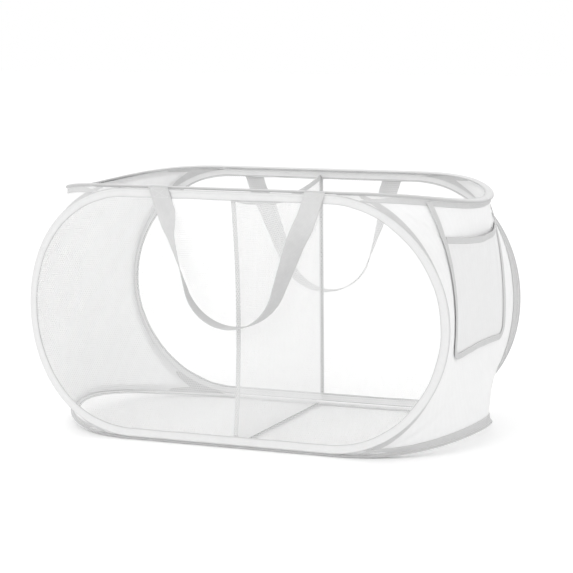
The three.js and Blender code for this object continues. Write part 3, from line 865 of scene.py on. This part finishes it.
def pocket_hem():
    """The tape over the pocket's mouth, with its stitches and the row below them in the cloth."""
    y = np.linspace(-POCKET_HALF_WIDTH + 5, POCKET_HALF_WIDTH - 5, 90)
    z = POCKET_TOP - HEM_HALF_WIDTH + 0 * y
    line, normal = on_right_end(y, z, HEM_OFF + pocket_puff(y, z))
    run = unit(np.gradient(line, axis=0))
    up = unit(np.cross(normal, run))
    piece = ribbon("pocket_hem", line, up * HEM_HALF_WIDTH, normal * HEM_HALF, SHADED_POCKET_BIND, "top_frame",
                   ["side_pocket_hem"])
    squash_flap(piece)
    row = line - up * HEM_STITCH_DROP + normal * (HEM_HALF - 0.05)
    piece = stitch_row("pocket_hem_stitches", row, normal, *TAPE_STITCH, THREAD, "top_frame")
    squash_flap(piece)
    y = np.linspace(-POCKET_HALF_WIDTH + 12, POCKET_HALF_WIDTH - 12, 90)
    z = POCKET_TOP - MOUTH_STITCH_DROP + 0 * y
    row, normal = on_right_end(y, z, POCKET_OFF + 0.32 + pocket_puff(y, z))
    piece = stitch_row("pocket_mouth_stitches", row, normal, *POCKET_MOUTH_STITCH, THREAD, "top_frame",
                       "end_cloth")
    squash_flap(piece)


def pocket_tape():
    """The tape down one side of the pocket, round its two bottom corners and up the other side."""
    corner_y, corner_z = POCKET_HALF_WIDTH - POCKET_CORNER_RADIUS, POCKET_BOTTOM + POCKET_CORNER_RADIUS
    down = [(-POCKET_HALF_WIDTH, z) for z in np.linspace(POCKET_TAPE_TOP, corner_z, 70)]
    round_ = [(-corner_y - POCKET_CORNER_RADIUS * math.cos(t), corner_z - POCKET_CORNER_RADIUS * math.sin(t))
              for t in np.linspace(0, math.pi / 2, 14)[1:]]
    level = [(y, POCKET_BOTTOM) for y in np.linspace(-corner_y, 0, 34)[1:]]
    path = np.array(down + round_ + level)
    path = np.concatenate([path, (path * [-1, 1])[-2::-1]])
    line, normal = on_right_end(path[:, 0], path[:, 1], POCKET_TAPE_OFF)
    across = unit(np.cross(np.gradient(line, axis=0), normal))
    piece = ribbon("pocket_edge_tape", line, across * POCKET_TAPE_WIDTH / 2, normal * POCKET_TAPE_HALF,
                   SHADED_POCKET_BIND, "top_frame", ["side_pocket_edge_tape"])
    squash_flap(piece)
    for label, share in (("outer", 0.72), ("inner", -0.72)):
        row = line + across * POCKET_TAPE_WIDTH / 2 * share + normal * POCKET_TAPE_HALF
        piece = stitch_row(f"pocket_tape_{label}_stitches", row, normal, *TAPE_STITCH, THREAD, "top_frame")
        squash_flap(piece)


pocket_tape()
pocket_panel()
pocket_hem()


# Divider. Its net folds in three flaps, and its taped top edge sags.

DIVIDER_SAG = 20
DIVIDER_TOP = HEIGHT - FOLD_LOW_Z - 14
DIVIDER_FRONT_SHIFT = 11
DIVIDER_BOW = 8
DIVIDER_SWAY = 1.5
DIVIDER_EDGE_RISE = 4.3
DIVIDER_EDGE_HALF_WIDTH = 4
DIVIDER_EDGE_HALF = 0.95
DIVIDER_SEAM_RISE = 1.25
DIVIDER_SEAM_HALF_WIDTH = 3.5
DIVIDER_SEAM_HALF = 0.55
DIVIDER_OVERLOCK_HALF_WIDTH = 2.4
# Each cut of the divider's net: its flap, its flat size in metres and how much of that its threads fill
DIVIDER_CUTS = [("bottom", (0.352, 0.185), 0.3), ("front", (0.176, 0.365), 0.34),
                ("back", (0.176, 0.365), 0.34)]


def divider_x(y, z):
    """How far to the right the divider stands, most at its front seam."""
    height = (z - HEIGHT / 2) / (HEIGHT / 2)
    return (1 - y / FLOOR_HALF) / 2 * (DIVIDER_FRONT_SHIFT + DIVIDER_BOW * (1 - height ** 2))


def divider_top(y):
    """The height of the divider's net at its sagging edge."""
    return DIVIDER_TOP - DIVIDER_SAG * (1 - (y / FLOOR_HALF) ** 2)


def divider_net():
    """The divider's net, cut where its three flaps fold."""
    def place(y, z, out):
        free = np.clip((FLOOR_HALF - np.abs(y)) / 50, 0, 1) * np.clip((z - 8) / 50, 0, 1)
        sway = DIVIDER_SWAY * free * ripple(y / 180, z / 180, seed=71, low=0.5, high=2)
        return xyz(divider_x(y, z) + out + sway, y, z)

    def owner(y, z):
        fall = (HEIGHT / 2 - z) / FOLD_HALF_HEIGHT
        return np.where(fall >= np.abs(y) / FOLD_Y, 0, np.where(y < 0, 1, 2))

    pieces = net(
        ((-FLOOR_HALF, FLOOR_HALF), (0, HEIGHT)), place,
        lambda y, z: (np.abs(y) < FLOOR_HALF - 2) & (z > FOLD_LOW_Z + 2) & (z < divider_top(y) + 4), owner,
        width=0.66, thick=0.24,
    )
    for number, (points, quads, tris) in pieces.items():
        flap, flat, share = DIVIDER_CUTS[number]
        piece = mesh_object(f"divider_net_{flap}", points, quads, tris)
        finish_piece(piece, NET, FLAPS[flap][0], ["divider_panel"])
        squash_flap(piece)


def divider_edge():
    """The tape along the divider's top edge, in two lengths that meet at its middle."""
    for flap, low, high in (("front", -FLOOR_HALF, 0), ("back", 0, FLOOR_HALF)):
        y = np.linspace(low, high, 60)
        z = divider_top(y) + DIVIDER_EDGE_RISE
        line = xyz(divider_x(y, z), y, z)
        run = unit(np.gradient(line, axis=0))
        side = unit(np.cross(run, [0, 0, 1.0]))
        up = unit(np.cross(side, run))
        piece = ribbon(f"divider_{flap}_edge", line, up * DIVIDER_EDGE_HALF_WIDTH, side * DIVIDER_EDGE_HALF,
                       SHADED_TAPE, FLAPS[flap][0], ["divider_top_tape"])
        squash_flap(piece)
        for label, way in (("left", -1), ("right", 1)):
            row = line - up * 2.9 + side * 0.92 * way
            piece = stitch_row(f"divider_{flap}_edge_{label}_stitches", row, side * way, *TAPE_STITCH, THREAD,
                               FLAPS[flap][0])
            squash_flap(piece)


def divider_seams():
    """The tapes that hold the divider on three nets, each overlocked down its middle."""
    for flap in ("front", "back", "bottom"):
        hoop = HOOPS[flap]
        across = np.linspace(-1, 1, 90) * (hoop.half - TAPE_WIDTH - 0.3)
        rest = hoop.point(0 * across, across, DIVIDER_SEAM_RISE)
        line = hoop.point(divider_x(rest[:, 1], rest[:, 2]), across, DIVIDER_SEAM_RISE)
        inside = unit(hoop.point(0 * across, across, 2.0) - hoop.point(0 * across, across, 1.0))
        side = np.broadcast_to([1.0, 0, 0], line.shape)
        ribbon(f"divider_{flap}_seam", line, side * DIVIDER_SEAM_HALF_WIDTH, inside * DIVIDER_SEAM_HALF, SHADED_TAPE,
               hoop.body, [f"divider_{flap}_tape"])
        zigzag(f"divider_{flap}_overlock", line + inside * 0.6, side * DIVIDER_OVERLOCK_HALF_WIDTH, inside, 1.7,
               0.27, DARK_THREAD, hoop.body)


divider_net()
divider_edge()
divider_seams()


# Handles. Each is one length of webbing. It is sewn to its hoop's tape at both ends, and hangs in two
# straight legs that an arc joins. It turns edge-on as it goes down.

STRAP_WIDTH = 30
STRAP_THICKNESS = 1.6
STRAP_Y = DEPTH / 2 + 1.1
TAB_HEIGHT = 20
HANDLE_TOP = HEIGHT - TAB_HEIGHT - 0.3
HANDLE_HALF_SPAN = 117
HANDLE_DROP = 179
HANDLE_BEND_RADIUS = 76
HANDLE_STAND_OFF = 3
HANDLE_LEVEL_SHARE = 0.15
HANDLE_UNTWISTED_SHARE = 0.06
HANDLE_TWIST_IN_SHARE = 0.25
HANDLE_TWIST_POWER = 0.6
HANDLE_FALL = HANDLE_DROP - HANDLE_BEND_RADIUS
LEG_ANGLE = (math.atan2(HANDLE_FALL, HANDLE_HALF_SPAN)
             + math.asin(HANDLE_BEND_RADIUS / math.hypot(HANDLE_HALF_SPAN, HANDLE_FALL)))
TAB_STITCH_HALF_WIDTH = 11.5
TAB_STITCH_HALF_HEIGHT = 6.5
TAB_STITCH_RISE = 10.5
TAB_STITCH = (2.9, 2.3, 0.27)


def ease_up_to(share, limit):
    """A smooth rise from 0 to 1, as the share goes from 0 to the limit."""
    share = np.clip(share / limit, 0, 1)
    return share * share * (3 - 2 * share)


def handle_stations():
    """The places along a handle, as x, z and the angle that it runs at."""
    angle = np.linspace(-LEG_ANGLE, LEG_ANGLE, 91)
    centre = HANDLE_TOP - HANDLE_FALL
    arc = np.stack([HANDLE_BEND_RADIUS * np.sin(angle), centre - HANDLE_BEND_RADIUS * np.cos(angle), angle], 1)
    x, z, _ = arc[-1]
    slope = (HANDLE_TOP - z) / (HANDLE_HALF_SPAN - x)
    heights = np.linspace(z, HEIGHT - 0.8, 71)[1:]
    leg = np.stack([x + (heights - z) / slope, heights, np.full(70, LEG_ANGLE)], 1)
    return np.concatenate([(leg * [-1, 1, -1])[::-1], arc, leg])


def handle(name, side, shift):
    """A handle's webbing in its hanging shape, and its stitches."""
    x, z, angle = handle_stations().T
    drop = np.clip((HANDLE_TOP - z) / HANDLE_DROP, 0, 1)
    run = xyz(np.cos(angle), 0, np.sin(angle))
    square = xyz(run[:, 2], 0, -run[:, 0])
    level = ease_up_to(drop, HANDLE_LEVEL_SHARE)[:, None]
    flat = xyz(np.sign(x), 0, 0) * (1 - level) + square * level
    below = drop - HANDLE_UNTWISTED_SHARE
    turn = math.pi / 2 * drop ** HANDLE_TWIST_POWER * ease_up_to(below, HANDLE_TWIST_IN_SHARE)
    width = flat * (np.cos(turn) / (flat * square).sum(1))[:, None] + xyz(0, -side * np.sin(turn), 0)
    off = HANDLE_STAND_OFF * ease_up_to(drop, 1) + STRAP_WIDTH / 2 * np.sin(turn)
    line = xyz(shift + x, side * (STRAP_Y + off), z)
    out = unit(np.cross(run, width))
    piece = bare_ribbon(f"{name}_handle", line, width * STRAP_WIDTH / 2, out * STRAP_THICKNESS / 2)
    coat(piece, STRAP)
    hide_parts(f"{name}_handle_strap", f"{name}_handle_left_tab", f"{name}_handle_right_tab")
    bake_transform(piece)
    for label, way in (("left", -1), ("right", 1)):
        tab_stitches(f"{name}_handle_{label}_stitches", side, way, shift, f"{name}_frame")


def tab_stitches(name, side, way, shift, body):
    """The slanted box of stitches with a cross in it that holds one end of a strap."""
    slant = xyz(way / math.tan(LEG_ANGLE), 0, 1)
    middle = xyz(shift + way * (HANDLE_HALF_SPAN + 10 / math.tan(LEG_ANGLE)),
                 side * (STRAP_Y + STRAP_THICKNESS / 2 + 0.05), HANDLE_TOP + TAB_STITCH_RISE)
    corner = lambda a, b: middle + xyz(a * TAB_STITCH_HALF_WIDTH, 0, 0) + slant * b * TAB_STITCH_HALF_HEIGHT
    box = [(-1, -1), (1, -1), (1, 1), (-1, 1), (-1, -1)]
    sides = list(zip(box, box[1:])) + [((-1, -1), (1, 1)), ((-1, 1), (1, -1))]
    pitch, length, radius = TAB_STITCH
    rows = []
    for start, end in sides:
        start, end = corner(*start), corner(*end)
        rows.append(np.linspace(start, end, int(np.linalg.norm(end - start) / pitch) + 1))
    places = np.concatenate([(row[1:] + row[:-1]) / 2 for row in rows])
    runs = np.concatenate([np.diff(row, axis=0) for row in rows])
    stitches(name, places, runs, np.broadcast_to([0.0, side, 0.0], places.shape), length, radius, THREAD, body)


handle("front", -1, 18)
handle("back", 1, 0)


# Camera, at the photograph's place

CAMERA_TURN = (23.837, 8.097, -0.448)
CAMERA_TARGET = (0.0169, 0, 0.21474)
CAMERA_AWAY = 3.18713
CAMERA_LENS = 132.07
FLOOR_REACH = 12000
FLOOR_DROP = 0.4


def camera():
    """The camera, from its azimuth, elevation and roll in degrees. Azimuth 0 looks at the front."""
    azimuth, elevation, roll = (math.radians(v) for v in CAMERA_TURN)
    away = Vector((math.sin(azimuth) * math.cos(elevation), -math.cos(azimuth) * math.cos(elevation),
                   math.sin(elevation)))
    right = (-away).cross(Vector((0, 0, 1))).normalized()
    up = right.cross(-away)
    turned = right * math.cos(roll) + up * math.sin(roll), up * math.cos(roll) - right * math.sin(roll)
    matrix = Matrix((turned[0], turned[1], away)).transposed().to_4x4()
    matrix.translation = Vector(CAMERA_TARGET) + away * CAMERA_AWAY
    eye = bpy.data.objects.new("camera", bpy.data.cameras.new("camera"))
    eye.data.lens = CAMERA_LENS
    eye.data.sensor_width = 36
    eye.data.clip_end = 60
    eye.matrix_world = matrix
    bpy.context.scene.collection.objects.link(eye)
    bpy.context.scene.camera = eye


def lamp(name, energy, angle, direction):
    """A sun from a direction, as wide as the angle in degrees."""
    data = bpy.data.lights.new(name, "SUN")
    data.energy = energy
    data.angle = math.radians(angle)
    sun = bpy.data.objects.new(name, data)
    sun.rotation_euler = Vector(direction).to_track_quat("Z", "Y").to_euler()
    bpy.context.scene.collection.objects.link(sun)


def world(ambient):
    """An even white sky, whose light is scaled by ambient but which is seen at strength 1."""
    made = bpy.data.worlds.new("studio")
    bpy.context.scene.world = made
    made.use_nodes = True
    tree = made.node_tree
    back = tree.nodes["Background"]
    back.inputs["Color"].default_value = (1, 1, 1, 1)
    rays = tree.nodes.new("ShaderNodeLightPath").outputs
    seen = math_node(tree, "MAXIMUM", rays["Is Camera Ray"], rays["Is Glossy Ray"])
    seen = math_node(tree, "MAXIMUM", seen, rays["Is Transmission Ray"])
    tree.links.new(math_node(tree, "MULTIPLY_ADD", seen, 1 - ambient, ambient), back.inputs["Strength"])


def floor():
    """A white floor that keeps the hamper's shadow, and that the camera sees a little lighter than lit."""
    corners = [(a * FLOOR_REACH, b * FLOOR_REACH, -FLOOR_DROP) for a, b in ((-1, -1), (1, -1), (1, 1), (-1, 1))]
    piece = mesh_object("floor", corners, [(0, 1, 2, 3)])
    n = Nodes("floor")
    noise = n.add("TexNoise", Vector=n.add("TexCoord").outputs["Object"], Scale=3.0)
    n.tint(252, 1, noise.outputs["Fac"])
    n.set(Roughness=0.9, Specular_IOR_Level=0.0, Emission_Color=(1, 1, 1, 1))
    path = n.add("LightPath")
    n.link(n.math("MULTIPLY", path.outputs["Is Camera Ray"], 0.1), "Emission Strength")
    piece.data.materials.append(n.material)
    piece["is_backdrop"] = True


camera()
world(1.0)
lamp("key", 0.5, 40, (-0.35, -1.0, 0.35))
floor()
bpy.context.scene.view_settings.view_transform = "Standard"

shown_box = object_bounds()
{"cad": [list(corner) for corner in cad_box], "shown": [list(corner) for corner in shown_box]}
